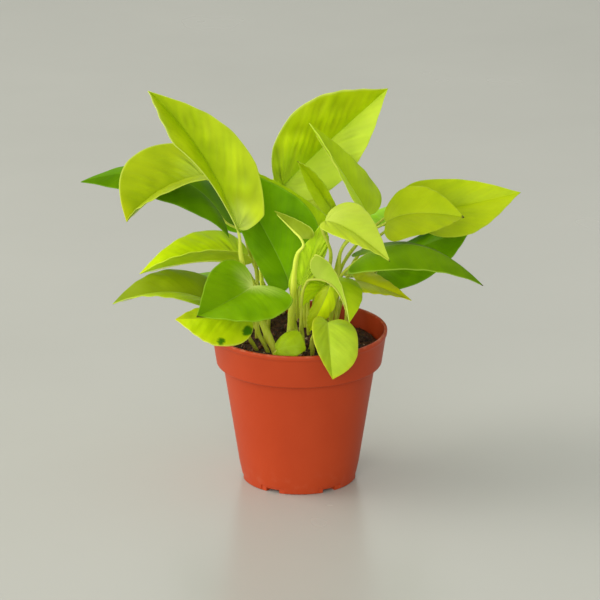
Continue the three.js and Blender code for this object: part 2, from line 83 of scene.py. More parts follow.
class Finish:
    """A material in the making. node() adds any node: its type, settings and sockets."""

    def __init__(self, name):
        self.material = bpy.data.materials.new(name)
        self.material.use_nodes = True
        self.tree = self.material.node_tree
        self.tree.nodes.clear()
        self.spot = self.node("ShaderNodeTexCoord", output=3)

    def node(self, kind, settings=None, output=0, **sockets):
        node = self.tree.nodes.new(kind)
        for key, value in (settings or {}).items():
            setattr(node, key, value)
        for key, value in sockets.items():
            named = [s for s in node.inputs if s.identifier == key]
            named += [s for s in node.inputs if s.name == key.replace("_", " ")]
            if isinstance(value, Wire):
                self.tree.links.new(value.socket, named[0])
            else:
                named[0].default_value = value
        return Wire(self, node.outputs[output] if node.outputs else None)

    def split(self, vector, axis):
        return self.node("ShaderNodeSeparateXYZ", output="XYZ".index(axis), Vector=vector)

    def map(self, name, axis):
        return self.split(self.node("ShaderNodeUVMap", {"uv_map": name}), axis)

    def attribute(self, name):
        return self.node("ShaderNodeAttribute", {"attribute_name": name}, output=2)

    def noise(self, scale, detail=2.0, roughness=0.5, upright=1.0):
        """Noise through the object, drawn out upwards where upright is less than 1."""
        vector = self.node("ShaderNodeMapping", Vector=self.spot, Scale=(1, 1, upright))
        return self.node("ShaderNodeTexNoise", Vector=vector, Scale=scale, Detail=detail, Roughness=roughness)

    def cells(self, scale):
        return self.node("ShaderNodeTexVoronoi", Vector=self.spot, Scale=scale)

    def mix(self, share, first, second):
        colours = {"Factor_Float": share, "A_Color": first, "B_Color": second}
        return self.node("ShaderNodeMix", {"data_type": "RGBA"}, output=2, **colours)

    def scaled(self, tint, share):
        settings = {"operation": "SCALE"}
        return self.node("ShaderNodeVectorMath", settings, Vector=tint, Scale=share)

    def skin(self, tint, roughness, **sockets):
        return self.node("ShaderNodeBsdfPrincipled", Base_Color=tint, Roughness=roughness, **sockets)

    def bump(self, height, distance, strength=1.0):
        return self.node("ShaderNodeBump", Height=height, Distance=distance, Strength=strength)

    def finish(self, shader):
        self.node("ShaderNodeOutputMaterial", Surface=shader)
        return self.material


def colour(red, green, blue):
    """A screen colour of 0 to 255 a channel as linear light."""
    screen = np.array([red, green, blue]) / 255
    linear = np.where(screen < 0.04045, screen / 12.92, ((screen + 0.055) / 1.055) ** 2.4)
    return (*linear.tolist(), 1.0)


# Surfaces

# Values that a finish reads at each point: painted light and shade on the skin (light), painted sheen
# that turns it pale (pale), how strongly the rays at the base and the pale margin show, the margin
# line partly a painted highlight, and how far it has ripened yellow, dried or turned green
MARKS = ("light", "pale", "rays", "rim", "ripe", "dry", "patch")


class Shell:
    """A closed surface: rows of points round a ring, whose first and last rows meet in poles.

    points is rows x columns x 3, with the columns round the ring. maps holds, by name, rows x
    (columns + 1) x 2 values, the last column being the seam. same gives each point's merged point,
    band each column's material and marks, by name, values at each point."""

    def __init__(self, points, maps, band=None, same=None, marks=None):
        rows, columns = points.shape[:2]
        row, column = np.meshgrid(np.arange(rows - 1), np.arange(columns), indexing="ij")
        steps = ((0, 0), (0, 1), (1, 1), (1, 0))
        corners = [(row + up) * columns + (column + over) % columns for up, over in steps]
        seats = [(row + up) * (columns + 1) + column + over for up, over in steps]
        self.points = points.reshape(-1, 3)
        if same is None:
            same = pole_merge(rows, columns, [np.arange(columns)])
        self.corners = same[np.stack(corners, -1).reshape(-1, 4)]
        self.seats = np.stack(seats, -1).reshape(-1, 4)
        self.maps = {name: values.reshape(-1, 2) for name, values in maps.items()}
        self.band = np.zeros(len(self.corners), int)
        if band is not None:
            self.band = band[column.ravel()]
        self.marks = {name: (marks or {}).get(name, np.zeros((rows, columns))).ravel() for name in MARKS}


def pole_merge(rows, columns, groups):
    """Merged index of each point: in the first and the last row each group of columns is one point."""
    same = np.arange(rows * columns).reshape(rows, columns)
    for row in (0, rows - 1):
        for group in groups:
            same[row, group] = same[row, group[0]]
    return same.ravel()


def add_object(name, data):
    thing = bpy.data.objects.new(name, data)
    bpy.context.scene.collection.objects.link(thing)
    return thing


def make_piece(name, shells, materials, node=None, crease=None):
    """One mesh of several closed shells. Corners that a pole merged are dropped from their faces."""
    faces, seats, bands, points = [], [], [], []
    maps = {key: [] for key in shells[0].maps}
    start, seat_start = 0, 0
    for shell in shells:
        first_flat = shell.corners[:, 0] == shell.corners[:, 1]
        last_flat = shell.corners[:, 2] == shell.corners[:, 3]
        whole = ~first_flat & ~last_flat
        for pick, keep in ((first_flat, (0, 2, 3)), (last_flat, (0, 1, 2)), (whole, (0, 1, 2, 3))):
            faces += (shell.corners[pick][:, keep] + start).tolist()
            seats.append((shell.seats[pick][:, keep] + seat_start).ravel())
            bands.append(shell.band[pick])
        points.append(shell.points)
        for key in maps:
            maps[key].append(shell.maps[key])
        start += len(shell.points)
        seat_start += len(shell.maps[key])
    points = np.concatenate(points)
    used = np.unique(np.concatenate([np.array(face) for face in faces]))
    fresh = np.zeros(len(points), int)
    fresh[used] = np.arange(len(used))
    mesh = bpy.data.meshes.new(name)
    mesh.from_pydata(points[used].tolist(), [], [fresh[face].tolist() for face in faces])
    seats = np.concatenate(seats)
    for key, values in maps.items():
        layer = mesh.uv_layers.new(name=key)
        layer.data.foreach_set("uv", np.concatenate(values)[seats].ravel().astype(np.float32))
    for key in MARKS:
        values = np.concatenate([shell.marks[key] for shell in shells])[used]
        if values.any():
            mark = mesh.attributes.new(key, "FLOAT", "POINT")
            mark.data.foreach_set("value", values.astype(np.float32))
    for material in materials:
        mesh.materials.append(material)
    mesh.polygons.foreach_set("material_index", np.concatenate(bands).astype(np.int32))
    mesh.polygons.foreach_set("use_smooth", np.ones(len(mesh.polygons), bool))
    if crease:
        mesh.set_sharp_from_angle(angle=np.radians(crease))
    mesh.update()
    piece = add_object(name, mesh)
    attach(piece, BODY)
    if node:
        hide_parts(node)
    return piece


def lattice_noise(points, size, seed):
    """Smooth noise from -1 to 1: random values at the corners of cells of the given size, blended
    by an S curve along each side of the cell."""
    place = points / size
    cell = np.floor(place)
    share = place - cell
    share = share * share * (3 - 2 * share)
    total = np.zeros(points.shape[:-1])
    for corner in np.ndindex(2, 2, 2):
        lattice = cell + corner
        wave = np.sin(lattice @ np.array([127.1, 311.7, 74.7]) + seed * 19.19) * 43758.5453
        weight = np.prod(np.where(np.array(corner) == 1, share, 1 - share), -1)
        total += weight * (wave - np.floor(wave))
    return total * 2 - 1


def smooth_step(value, low, high):
    """0 below low, 1 above high and an even S curve between."""
    share = np.clip((value - low) / (high - low), 0, 1)
    return share * share * (3 - 2 * share)


def unit(vector):
    return vector / np.linalg.norm(vector, axis=-1, keepdims=True)


def turned(profile, sides):
    """A surface of revolution: each [radius, height] of the profile carried round the axis."""
    angle = np.linspace(0, 2 * np.pi, sides, endpoint=False)
    radius, height = profile[:, :1], profile[:, 1:]
    return np.stack([radius * np.cos(angle), radius * np.sin(angle), height + 0 * angle], -1)


def turned_maps(rows, sides):
    """Maps of a turned surface: share of the way along the profile, share of the way round."""
    round_share, up_share = np.meshgrid(np.linspace(0, 1, sides + 1), np.linspace(0, 1, rows))
    return {name: np.stack([up_share, round_share], -1) for name in ("place", "veins")}


# Leaf blades

# Half of the leaf's outline: share of the length, share of the half width
HALF_LEAF = np.array([
    (0, 0), (-0.08, 0.16), (-0.14, 0.42), (-0.1, 0.74), (0.04, 0.94), (0.26, 1),
    (0.48, 0.93), (0.67, 0.72), (0.83, 0.42), (0.94, 0.15), (1, 0),
])
WIDEST = 0.26
WAIST_STEP = 0.6
ROOT_SPREAD = 1.7
BELLY = 0.07
BLADE_THICKNESS = 0.5
MARGIN_ROUND = 0.22
CELL = 0.85
VEIN_COUNT = 12
VEIN_SLANT = 0.32
VEIN_CURVE = 0.11
FAN_COUNT = 2.4
VEIN_STRAY = 0.35
STRAY_SIZE = 15
RIB_FLAT_SHARE = 0.3
TIP_FLAT = 1.15
UNEVEN_SIZE = 13
UNEVEN_MEAN = 0.6
UNEVEN_SWING = 0.7
UNEVEN_MOST = 1.2
FOLD_HEIGHT = 0.5
PILLOW_HEIGHT = 0.9
PILLOWS_PER_VEIN = 1.5
PILLOWS_ACROSS = 2.4
QUILT_MIDDLE = 0.3
BUCKLE_SIZE = 8
BUCKLE_LEAST = 0.2
BUCKLE_PER_QUILT = 0.5
RIPPLE_RATE = 2.1
RELIEF_SHADE = 0.3
RELIEF_MOST = 0.8
RAY_SQUEEZE = 0.35
RIPE_FULL = 1.1
DRY_FULL = 0.3
SPOT_LOBES = 5
SPOT_UNEVEN = 0.1
SPOT_TURN = 40
SPOT_CORE = 0.75
SPOT_END = 1.15
ROWS_PER_CELL = 1.35
ROW_RANGE = (30, 130)
HALF_RANGE = (7, 36)


def outline(step):
    """Catmull-Rom curve through the points of the half outline, for steps from 0 to 1."""
    last = len(HALF_LEAF) - 1
    at = np.clip(step * last, 0, last)
    start = np.minimum(at.astype(int), last - 1)
    share = (at - start)[:, None]
    before, here, there, after = (HALF_LEAF[np.clip(start + k, 0, last)] for k in (-1, 0, 1, 2))
    leave, arrive = (there - before) / 2, (after - here) / 2
    cubic = (2 * here - 2 * there + leave + arrive) * share ** 3
    return cubic + (-3 * here + 3 * there - 2 * leave - arrive) * share ** 2 + leave * share + here


def midrib(leaf, along):
    """Parabola through base, middle and tip, straight on behind the base."""
    base, mid, tip = leaf["base"], leaf["mid"], leaf["tip"]
    along = np.asarray(along, float)[..., None]
    bow = mid - (base + tip) / 2
    inside, behind = np.maximum(along, 0), np.minimum(along, 0)
    return base + (tip - base) * along + bow * (4 * inside * (1 - inside) + 4 * behind)


def vein_number(along, wide):
    """Whole numbers lie on the side veins: slanting lines from the midrib, and a fan from the base
    where a line would start behind it."""
    ahead = along - VEIN_CURVE * wide ** 2
    start = ahead - VEIN_SLANT * wide
    angle = np.arctan2(VEIN_SLANT * wide, ahead) - np.pi / 4
    return np.where(start > 0, VEIN_COUNT * start, -FAN_COUNT * angle)


def halves(values, left):
    """The first value on the left half of a blade and the second on the right; one value on both."""
    first, second = np.broadcast_to(values, 2)
    return np.where(left, first, second)


def blade_relief(leaf, flat, along, number, share, left):
    """Quilts and buckles over the smooth blade, flat at the midrib, the margin and the tip:
    quilt = depth * unevenness * (absolute sine of the vein number + pillows along the veins)."""
    seed = leaf["seed"]
    depth = halves(leaf["quilt"], left)
    fade = np.minimum(share / RIB_FLAT_SHARE, 1) * (1 - share ** 5) * np.clip(TIP_FLAT - along, 0, 1)
    uneven = np.clip(UNEVEN_MEAN + UNEVEN_SWING * lattice_noise(flat, UNEVEN_SIZE, seed), 0, UNEVEN_MOST)
    flow = [PILLOWS_PER_VEIN * number, PILLOWS_ACROSS * share + 0 * number, left + 0 * number]
    pillows = lattice_noise(np.stack(flow, -1), 1, seed)
    folds = FOLD_HEIGHT * abs(np.sin(np.pi * number))
    quilt = depth * uneven * fade * (folds + PILLOW_HEIGHT * pillows - QUILT_MIDDLE)
    buckle = (BUCKLE_LEAST + BUCKLE_PER_QUILT * depth) * lattice_noise(flat, BUCKLE_SIZE, seed + 5) * fade
    return quilt + buckle


def blade_sheet(leaf, rows, half_columns):
    """Mid surface of a blade. step runs from the notch at the base to the tip, across from the left
    margin (-1) over the midrib (0) to the right margin (1):
    point = midrib(along) + wide * side + (belly + relief + ripple at the margin) * up."""
    step = np.linspace(0, 1, rows)[:, None]
    across = np.linspace(-1, 1, 2 * half_columns + 1)[None]
    left = across < 0
    share = abs(across)
    x, y = np.moveaxis(outline(step[:, 0]), -1, 0)[..., None]
    full, lobe, waist = (halves(leaf[key], left) for key in ("full", "lobe", "waist"))
    reach = np.where(x > 0, x + full * x * (1 - x), x * lobe)
    width = y * (lobe + (1 - lobe) * np.minimum(2 * step, 1)) * np.minimum(step / WAIST_STEP, 1) ** waist
    root = step ** ROOT_SPREAD
    along = root + (reach - root) * share
    wide = width * share
    length = leaf["tip"] - leaf["base"]
    sides, ups = [], []
    for widest, turn in ((leaf["left"], 1), (leaf["right"], -1)):
        side = widest - midrib(leaf, WIDEST)
        sides.append(side)
        ups.append(unit(np.cross(length, side)) * turn)
    side = np.where(left[..., None], sides[0], sides[1])
    up = np.where(left[..., None], ups[0], ups[1])
    half_width = np.linalg.norm(side, axis=-1)
    flat = midrib(leaf, along) + wide[..., None] * side
    stray = VEIN_STRAY * share * lattice_noise(flat, STRAY_SIZE, leaf["seed"] + 9)
    number = vein_number(along, wide) + stray
    belly = BELLY * half_width * 4 * wide * (1 - wide)
    relief = blade_relief(leaf, flat, along, number, share, left)
    wave = np.sin(RIPPLE_RATE * number + leaf["seed"] + 2 * left) * share ** 3 * np.minimum(width * 2, 1)
    height = belly + relief + leaf["ripple"] * wave
    place = along + 0 * wide, wide * np.sign(across), number, across + 0 * step
    return flat + height[..., None] * up, *place, relief


def blade_marks(leaf, along, wide, across, relief):
    """Marks of a blade. Both halves have their own painted light and shade, painted sheen (paleness) and
    rim, the rim being partly a painted highlight, and painted shading makes the skin a little lighter on
    the quilts and darker in their hollows; rays fade away from the base; ripeness grows towards the tip
    and the margin; each spot is a round place on the blade, with a soft edge where it is pale."""
    left = across < 0
    length = np.linalg.norm(leaf["tip"] - leaf["base"])
    half_width = np.linalg.norm(leaf["left"] - midrib(leaf, WIDEST))
    # light is painted light and shade, pale a painted sheen and rim a pale margin, partly a painted highlight
    marks = {name: halves(leaf[name], left) for name in ("light", "pale", "rim")}
    # Painted shade of the relief: lighter on the quilts, darker in their hollows
    marks["light"] = marks["light"] * (1 + RELIEF_SHADE * np.clip(relief, -RELIEF_MOST, RELIEF_MOST))
    strength, reach = leaf["rays"]
    marks["rays"] = strength * (1 - smooth_step(np.hypot(along, RAY_SQUEEZE * wide), 0.0, reach))
    ripe_tip, ripe_margin = leaf["ripe"]
    marks["ripe"] = smooth_step(along, 1 - ripe_tip, RIPE_FULL) + ripe_margin * abs(across) ** 9
    if leaf["dry"]:
        marks["dry"] = smooth_step(along, 1 - leaf["dry"], 1 - DRY_FULL * leaf["dry"])
    marks["patch"] = 0 * along
    for name, spot_along, spot_wide, size, strength in leaf["spots"]:
        ahead, aside = along - spot_along, wide - spot_wide
        uneven = SPOT_UNEVEN * np.sin(SPOT_LOBES * np.arctan2(ahead, aside) + SPOT_TURN * spot_along)
        reach = np.hypot(ahead * length, aside * half_width) / size + uneven
        core = 0.0 if name == "pale" else SPOT_CORE
        marks[name] = np.maximum(marks[name], strength * (1 - smooth_step(reach, core, SPOT_END)))
    return marks


def blade_shell(leaf):
    """The mid surface moved half a thickness up and down, joined by a rounded margin."""
    long = np.linalg.norm(leaf["tip"] - leaf["base"])
    broad = max(np.linalg.norm(leaf[side] - midrib(leaf, WIDEST)) for side in ("left", "right"))
    rows = int(np.clip(ROWS_PER_CELL * long / CELL, *ROW_RANGE))
    half_columns = int(np.clip(broad / CELL, *HALF_RANGE))
    sheet, along, wide, number, across, relief = blade_sheet(leaf, rows, half_columns)
    columns = sheet.shape[1]
    normal = np.cross(np.gradient(sheet, axis=1), np.gradient(sheet, axis=0))
    normal[0] = normal[1].sum(0)
    normal[-1] = normal[-2].sum(0)
    normal = unit(normal)
    upper = sheet + normal * BLADE_THICKNESS / 2
    lower = sheet - normal * BLADE_THICKNESS / 2
    outward = unit(sheet[:, [0, -1]] - sheet[:, [1, -2]] + 1e-9)
    edge = sheet[:, [0, -1]] + MARGIN_ROUND * outward
    edge[[0, -1]] = sheet[[0, -1]][:, [0, -1]]
    ring = np.concatenate([upper, edge[:, 1:], lower[:, ::-1], edge[:, :1]], 1)

    def round_ring(values):
        """Values of the sheet carried over the upper side, the margin, the lower side and back."""
        return np.concatenate([values, values[:, -1:], values[:, ::-1], values[:, :1]], 1)

    maps = {"place": (along, wide), "veins": (number, across)}
    for name, pair in maps.items():
        around = np.stack([round_ring(values) for values in pair], -1)
        maps[name] = np.concatenate([around, around[:, -1:]], 1)
    top, bottom = np.arange(columns), np.arange(columns + 1, 2 * columns + 1)
    edges = np.array([columns, 2 * columns + 1])
    same = pole_merge(rows, 2 * columns + 2, [top, bottom, edges])
    band = np.zeros(2 * columns + 2, int)
    band[columns:-1] = 1
    marks = blade_marks(leaf, along, wide, across, relief)
    marks = {name: round_ring(values) for name, values in marks.items()}
    return Shell(ring * MM, maps, band, same, marks)


# Stalks

ROOTED = 8
ROOT_COLLAR = 1
ROOT_RISE = 5
CROOK_LENGTH = 4
MIDRIB_START = 0.1
RIB_END = 0.93
RIB_STATIONS = (0, MIDRIB_START, 0.3, 0.5, 0.7, RIB_END)
RIB_DEPTH = 0.5
RIB_SINK = 0.1
RIB_END_RADIUS = 0.16
HEAD_RADIUS = 0.75
GROOVE_DEPTH = 0.22
GROOVE_ANGLE = 0.5
KNOT_SHARE = 0.05
KNOT_RATE = 0.35
STALK_SECTIONS = 90
STALK_SIDES = 16
CURVE_STEPS = 24
THINNING = 3
SOIL_Z = 85
SOIL_RELIEF = 0.9
HEAP_X = -15
HEAP_Y = 42
HEAP_RADIUS = 20
HEAP_HEIGHT = 6


def heap_rise(x, y):
    return HEAP_HEIGHT * np.exp(-((x - HEAP_X) ** 2 + (y - HEAP_Y) ** 2) / HEAP_RADIUS ** 2)


def soil_surface(x, y):
    """Height of the solid's soil: a slow swell, small crumbs on it and the heap."""
    swell = np.sin(x * 0.11 + 1) * np.cos(y * 0.13 - 0.5)
    crumb = np.sin(x * 0.37 - y * 0.21) * np.cos(y * 0.41 + x * 0.17)
    return SOIL_Z + SOIL_RELIEF * (swell + 0.6 * crumb) + heap_rise(x, y)


def smooth_path(points, count):
    """Points spaced evenly by length on the centripetal Catmull-Rom curve through the given ones."""
    points = np.array(points, float)
    first_end, last_end = 2 * points[0] - points[1], 2 * points[-1] - points[-2]
    far = np.concatenate([[first_end], points, [last_end]])
    before, here, there, after = far[:-3], far[1:-2], far[2:-1], far[3:]
    spacing = np.linalg.norm(np.diff(far, axis=0), axis=1)[:, None] ** 0.5
    first, second, third = spacing[:-2], spacing[1:-1], spacing[2:]
    leave = (here - before) / first - (there - before) / (first + second) + (there - here) / second
    arrive = (there - here) / second - (after - here) / (second + third) + (after - there) / third
    leave, arrive = (leave * second)[:, None], (arrive * second)[:, None]
    share = np.linspace(0, 1, CURVE_STEPS, endpoint=False)[None, :, None]
    here, there = here[:, None], there[:, None]
    curve = (2 * share ** 3 - 3 * share ** 2 + 1) * here + (share ** 3 - 2 * share ** 2 + share) * leave
    curve = curve + (3 * share ** 2 - 2 * share ** 3) * there + (share ** 3 - share ** 2) * arrive
    curve = np.concatenate([curve.reshape(-1, 3), points[-1:]])
    run = np.concatenate([[0], np.cumsum(np.linalg.norm(np.diff(curve, axis=0), axis=1))])
    at = np.linspace(0, run[-1], count)
    return np.stack([np.interp(at, run, curve[:, k]) for k in range(3)], -1)


def stalk_shell(leaf):
    """A round stalk with a shallow groove on its upper side, carried along the petiole's path and
    on under the blade, where it thins into the rib."""
    x, y = leaf["root"]
    root = np.array([x, y, soil_surface(x, y)])
    base, via = leaf["base"], leaf["via"]
    heading = unit((via[0] if via else base) - root)
    length, widest = leaf["tip"] - base, midrib(leaf, WIDEST)
    ups = [unit(np.cross(length, leaf[side] - widest)) for side in ("left", "right")]
    above = unit(ups[0] - ups[1])
    back = unit(base - midrib(leaf, MIDRIB_START))
    crook = unit(unit((via[-1] if via else root) - base) + back)
    ribs = [midrib(leaf, share) - RIB_DEPTH * above for share in RIB_STATIONS]
    path = [root + heading * rise for rise in (-ROOTED, -ROOT_COLLAR, ROOT_RISE)]
    path += [*via, ribs[0] + crook * CROOK_LENGTH, *ribs[1:]]
    centre = smooth_path(path, STALK_SECTIONS)
    tangent = unit(np.gradient(centre, axis=0))
    bend_axis = np.linalg.svd(tangent)[2][2]
    side = unit(bend_axis - (tangent @ bend_axis)[:, None] * tangent)
    top = np.cross(side, tangent)
    if top[-1] @ above < 0:
        side, top = -side, -top
    run = np.concatenate([[0], np.cumsum(np.linalg.norm(np.diff(centre, axis=0), axis=1))])
    nearest = np.argmin(np.linalg.norm(centre - base, axis=1))
    stem_share = np.minimum(run / run[nearest], 1)
    rib_share = np.clip((run - run[nearest]) / (run[-1] - run[nearest]), 0, 1)
    radius = leaf["radius"] + (HEAD_RADIUS - leaf["radius"]) * stem_share ** THINNING
    radius = radius * (1 - rib_share) + RIB_END_RADIUS * rib_share
    radius = radius * (1 + KNOT_SHARE * np.sin(run * KNOT_RATE + leaf["seed"]))
    angle = np.linspace(0, 2 * np.pi, STALK_SIDES, endpoint=False)
    off_top = np.minimum(angle, 2 * np.pi - angle)
    groove = 1 - GROOVE_DEPTH * np.exp(-((off_top / GROOVE_ANGLE) ** 2))
    groove = groove[None] * (1 - rib_share[:, None]) + rib_share[:, None]
    reach = radius[:, None] * groove
    sunk = centre - above * (rib_share > 0)[:, None] * RIB_SINK
    ring = sunk[:, None] + reach[..., None] * (
        np.cos(angle)[None, :, None] * top[:, None] + np.sin(angle)[None, :, None] * side[:, None]
    )
    ring[0], ring[-1] = centre[0], centre[-1]
    maps = turned_maps(STALK_SECTIONS, STALK_SIDES)
    for values in maps.values():
        values[..., 0] = (stem_share + rib_share)[:, None]
    # Painted light and shade on the stalk: one gain on its whole colour
    marks = {"light": np.full((STALK_SECTIONS, STALK_SIDES), float(leaf["stem"]))}
    shell = Shell(ring * MM, maps, marks=marks)
    shell.band[:] = 2
    return shell


# Finishes of the leaves

DRY = colour(70, 50, 20)
RIPE = colour(224, 222, 16)
PATCH = colour(66, 128, 8)
PALE = colour(222, 236, 130)
UNDERSIDE = colour(205, 225, 100)
UNDERSIDE_SHARE = 0.25
LEAF_ROUGHNESS = 0.42
UNDERSIDE_ROUGHNESS = 0.58
LEAF_CLOUDS = 55
LEAF_GRAIN = 420
LEAF_PORES = 700
RAY_SPREAD = 0.45
RAY_COUNT = 5.5
RAY_WAVER = 1.2


def leaf_face(name, bright, deep, edge, rough, through=0.2, glow=(0.6, 0.85, 0.01, 1), gloss=0.3):
    """Waxy leaf skin: mottled green with painted shade of the quilting, faintly paler veins, rays at the
    base and a thin pale margin that is partly a painted highlight, painted light and shade on each half,
    a painted sheen, and the marks for ripe, dry and green places."""
    f = Finish(name)
    along, wide = f.map("place", "X"), f.map("place", "Y")
    number, across = f.map("veins", "X"), f.map("veins", "Y")
    cloud = f.noise(LEAF_CLOUDS, 3)
    grain = f.noise(LEAF_GRAIN, 3)
    gap = number.fold(0.5)
    line = 1 - gap.smooth(0.0, 0.08)
    share = abs(across)
    fade = share.smooth(0.0, 0.12) * (1 - share.smooth(0.6, 0.98))
    # Painted shade of the quilting: the skin is lighter between the veins and darker along them
    skin = f.mix(cloud.smooth(0.3, 0.7) * 0.7 + gap * 0.16 + grain * 0.15, deep, bright)
    # Painted light and shade of each half, then a painted sheen that turns it pale
    skin = f.scaled(skin, f.attribute("light"))
    skin = f.mix(f.attribute("pale") * (cloud * 0.6 + 0.7), skin, PALE)
    skin = f.mix(line * fade * 0.03, skin, PALE)
    rib = 1 - abs(wide).smooth(0.008, 0.03)
    rays = f.attribute("rays")
    skin = f.mix(rib * (1 - along.smooth(0.4, 0.9)) * (rays * 0.5 + 0.1), skin, PALE)
    angle = wide.maths("ARCTAN2", wide * RAY_SPREAD, along + 0.01)
    ray = 1 - (angle * RAY_COUNT + f.noise(110, 2) * RAY_WAVER).fold(0.5).smooth(0.0, 0.35)
    skin = f.mix(rays * (ray * 0.35 + 0.4), skin, PALE)
    # Pale margin line, partly the margin's own colour and partly a painted highlight
    skin = f.mix(share.smooth(0.955, 0.995) * f.attribute("rim"), skin, edge)
    skin = f.mix(f.attribute("ripe") * (cloud * 0.5 + 0.6), skin, RIPE)
    skin = f.mix(f.attribute("patch"), skin, PATCH)
    skin = f.mix(f.attribute("dry"), skin, DRY)
    height = gap.smooth(0.0, 0.3) * 0.12 * fade + grain * 0.25 + f.cells(LEAF_PORES) * 0.15
    shine = f.skin(
        skin, cloud.between(rough, rough + 0.12), Specular_IOR_Level=gloss, Specular_Tint=(0.9, 1, 0.55, 1),
        Normal=f.bump(height, 0.0002, 0.5),
    )
    light = f.node("ShaderNodeBsdfTranslucent", Color=glow)
    return f.finish(f.node("ShaderNodeMixShader", Fac=through, Shader=shine, Shader_001=light))


def stalk_skin():
    """Stalk skin: fine streaks along the stalk, a duller foot and a paler head at the blade."""
    f = Finish("stalk pale")
    pale, green, foot = colour(232, 240, 110), colour(210, 226, 40), colour(200, 200, 56)
    share, round_share = f.map("place", "X"), f.map("place", "Y")
    streak = f.noise(900, 3, upright=0.12)
    cloud = f.noise(70, 2)
    skin = f.mix(streak.smooth(0.35, 0.65) * 0.4 + cloud * 0.35, green, pale)
    skin = f.mix((1 - share.smooth(0.1, 0.3)) * 0.6, skin, foot)
    skin = f.mix(share.smooth(0.8, 1.0) * 0.6, skin, pale)
    groove = abs(round_share - 0.5).smooth(0.42, 0.5)
    skin = f.mix(groove * 0.25, skin, foot)
    # Painted light and shade: the stalk's colour scaled by its gain
    skin = f.scaled(skin, f.attribute("light"))
    shine = f.skin(
        skin, cloud.between(0.4, 0.55), Specular_IOR_Level=0.3, Specular_Tint=(0.9, 1, 0.6, 1),
        Normal=f.bump(streak, 0.00015, 0.4),
    )
    light = f.node("ShaderNodeBsdfTranslucent", Color=(0.55, 0.7, 0.06, 1))
    return f.finish(f.node("ShaderNodeMixShader", Fac=0.2, Shader=shine, Shader_001=light))


def tone_pair(name, bright, deep, edge, **light):
    """Upper and lower finish of one tone of leaf; the lower one is paler and duller."""
    bright, deep, edge = colour(*bright), colour(*deep), colour(*edge)
    soft = tuple((1 - UNDERSIDE_SHARE) * b + UNDERSIDE_SHARE * p for b, p in zip(bright, UNDERSIDE))
    return (leaf_face(f"leaf {name} upper", bright, deep, edge, LEAF_ROUGHNESS, **light),
            leaf_face(f"leaf {name} lower", soft, deep, edge, UNDERSIDE_ROUGHNESS, **light))


LEAF_FINISHES = {
    "neon": tone_pair("neon", (214, 233, 12), (188, 213, 4), (232, 242, 120)),
    "lime": tone_pair("lime", (197, 223, 12), (164, 198, 4), (226, 236, 100)),
    "olive": tone_pair("olive", (184, 208, 8), (154, 180, 2), (208, 224, 90)),
    "green": tone_pair("green", (146, 192, 4), (116, 164, 0), (190, 222, 80),
                       glow=(0.35, 0.7, 0.01, 1), gloss=0.1),
    "dark": tone_pair("dark", (114, 162, 0), (84, 130, 0), (160, 205, 60),
                      through=0.12, glow=(0.2, 0.5, 0.0, 1), gloss=0.06),
    "yellow": tone_pair("yellow", (206, 212, 12), (180, 190, 6), (232, 222, 80)),
}
STALK_FINISH = stalk_skin()

# What a leaf has unless its call says otherwise: the via points and radius of its stalk, the fullness,
# lobe and waist of its blade, its relief and its marks, light being painted light and shade on each half
# and pale a painted sheen. The last value is painted light and shade on the stalk's colour.
PLAIN_LEAF = dict(
    via=(), radius=1.3, full=0, lobe=1, waist=0, quilt=0.35, ripple=0.3, light=1, pale=0,
    rays=(0.15, 0.3), rim=0.25, ripe=(0, 0), dry=0, spots=(), stem=1,
)


def leaf(number, tone, wears=None, **given):
    """A blade grown together with its stalk, from the same points as the solid that it replaces.
    Its number seeds its noise. wears is the tone of its finish where that isn't its tone."""
    spec = {**PLAIN_LEAF, **given, "seed": number}
    for key in ("base", "mid", "tip", "left", "right"):
        spec[key] = np.array(spec[key], float)
    spec["via"] = [np.array(point, float) for point in spec["via"]]
    node = f"leaf_{number:02}"
    shells = [blade_shell(spec), stalk_shell(spec)]
    materials = [*LEAF_FINISHES[wears or tone], STALK_FINISH]
    return make_piece(f"{node}_grown", shells, materials, node, crease=50)
